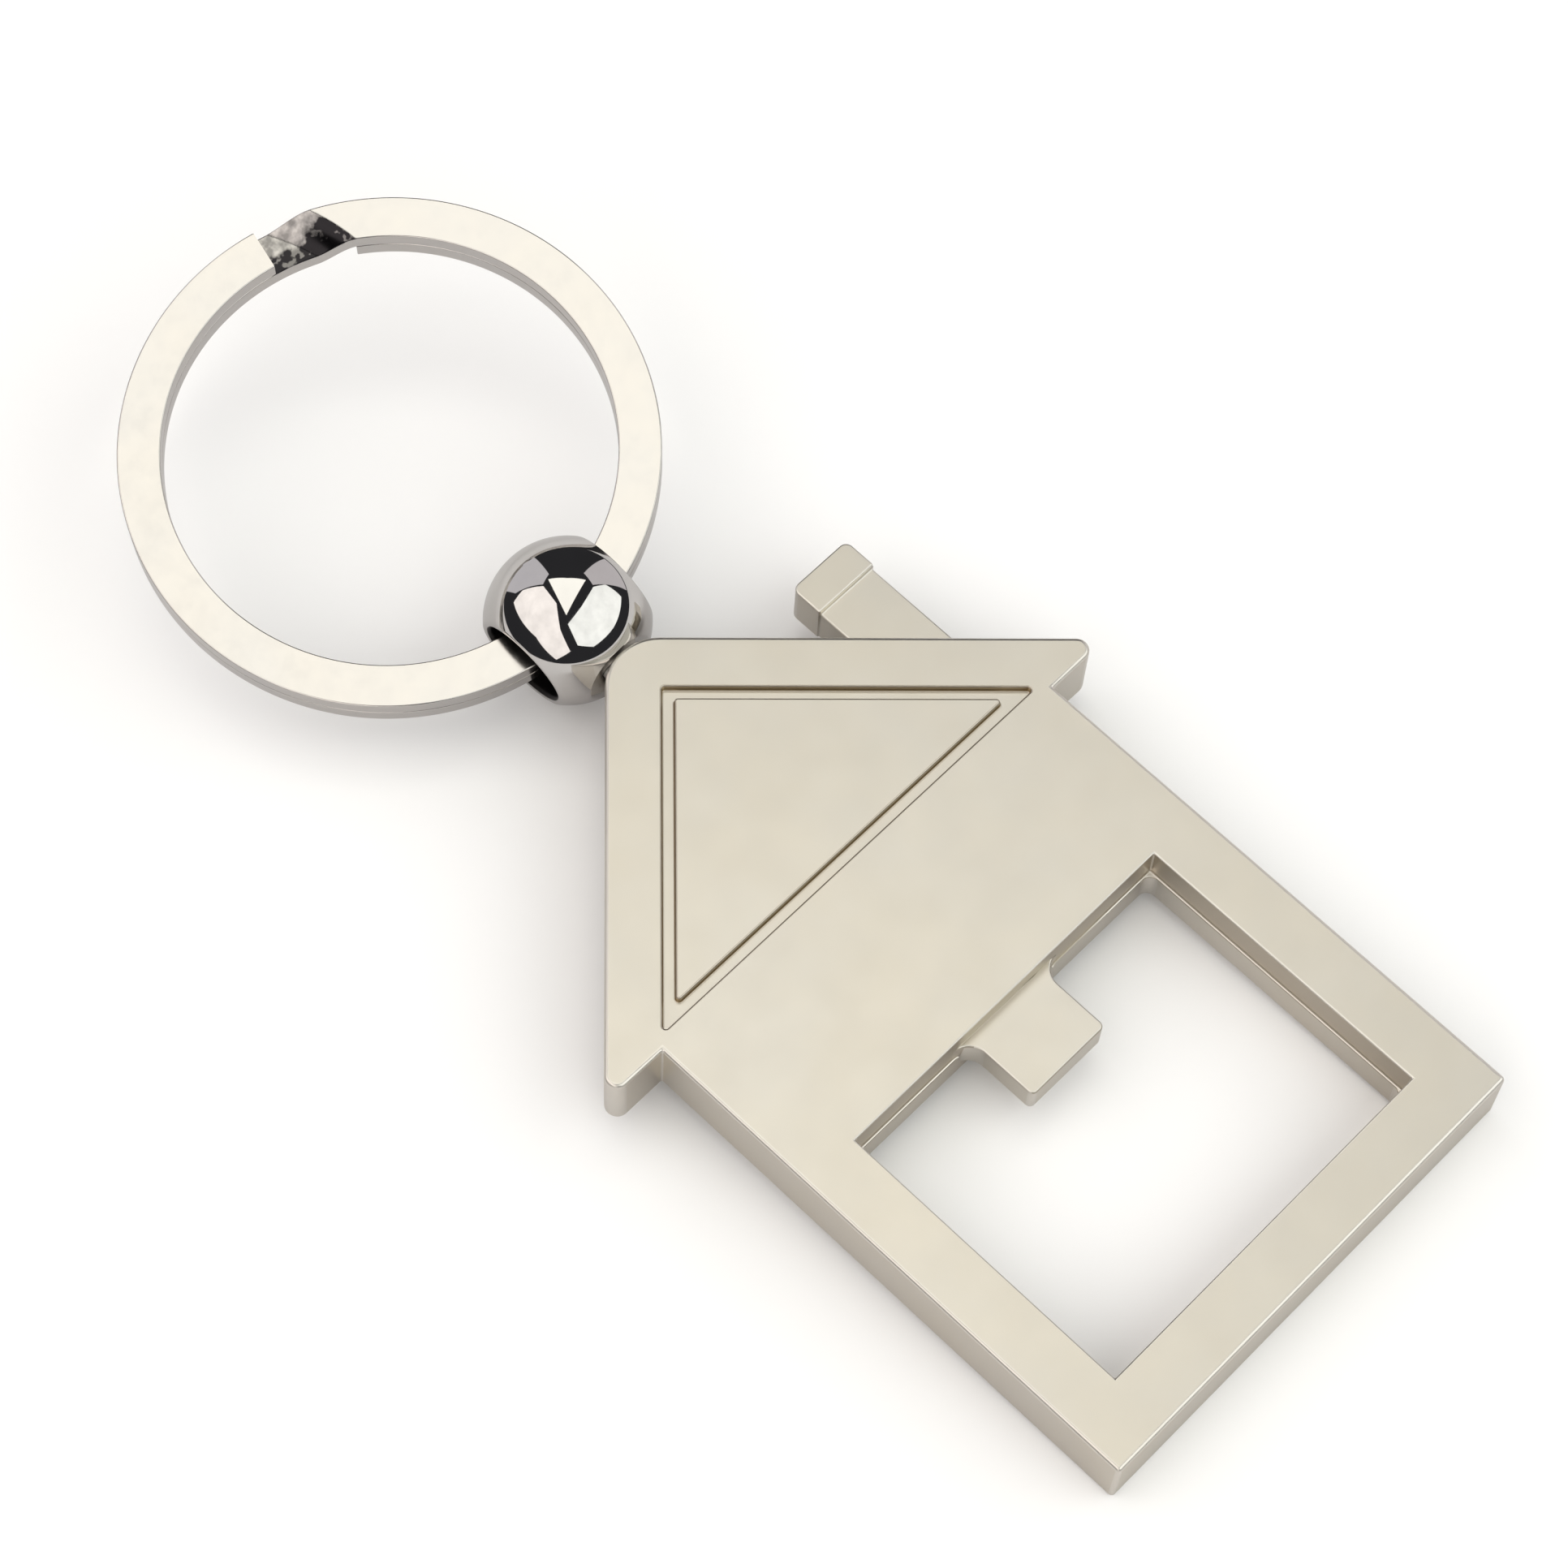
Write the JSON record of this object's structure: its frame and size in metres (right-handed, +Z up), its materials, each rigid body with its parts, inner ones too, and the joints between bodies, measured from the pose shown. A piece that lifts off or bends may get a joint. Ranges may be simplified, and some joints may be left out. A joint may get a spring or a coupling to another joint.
{
  "type": "keychain bottle opener",
  "caption": "House-shaped metal bottle opener with a window tooth, a chrome ball that swivels on its gable, and a flat split key ring through the ball.",
  "frame": {"origin": "centre of the whole object's footprint, on the surface that it rests on", "axes": "+X across the house towards its chimney side, +Y from the house's base towards the gable and the ring, +Z up, out of the front face. The casting leans back by 2.65 degrees, because the ball under its gable is thicker than it is."},
  "size_m": [0.0366, 0.083, 0.0106],
  "materials": {
    "satin_nickel": "satin",
    "pin_steel": "satin",
    "ball_chrome": "polished",
    "ring_nickel": "polished"
  },
  "bodies": {
    "house": {"house_plate": "satin_nickel", "swivel_pin": "pin_steel"},
    "ball": {"connector_ball": "ball_chrome"},
    "ring": {"split_ring": "ring_nickel"}
  },
  "joints": [
    {"name": "ball_swivel", "type": "hinge", "parent": "house", "child": "ball", "pos_m": [0, 0.01289, 0.00465], "axis": [0, 0.9989, 0.0462], "continuous": true},
    {"name": "ring_swing", "type": "hinge", "parent": "ball", "child": "ring", "pos_m": [0, 0.01289, 0.00465], "axis": [0.9932, -0.0054, 0.1165], "range_deg": [-135.8, 124.2]}
  ]
}
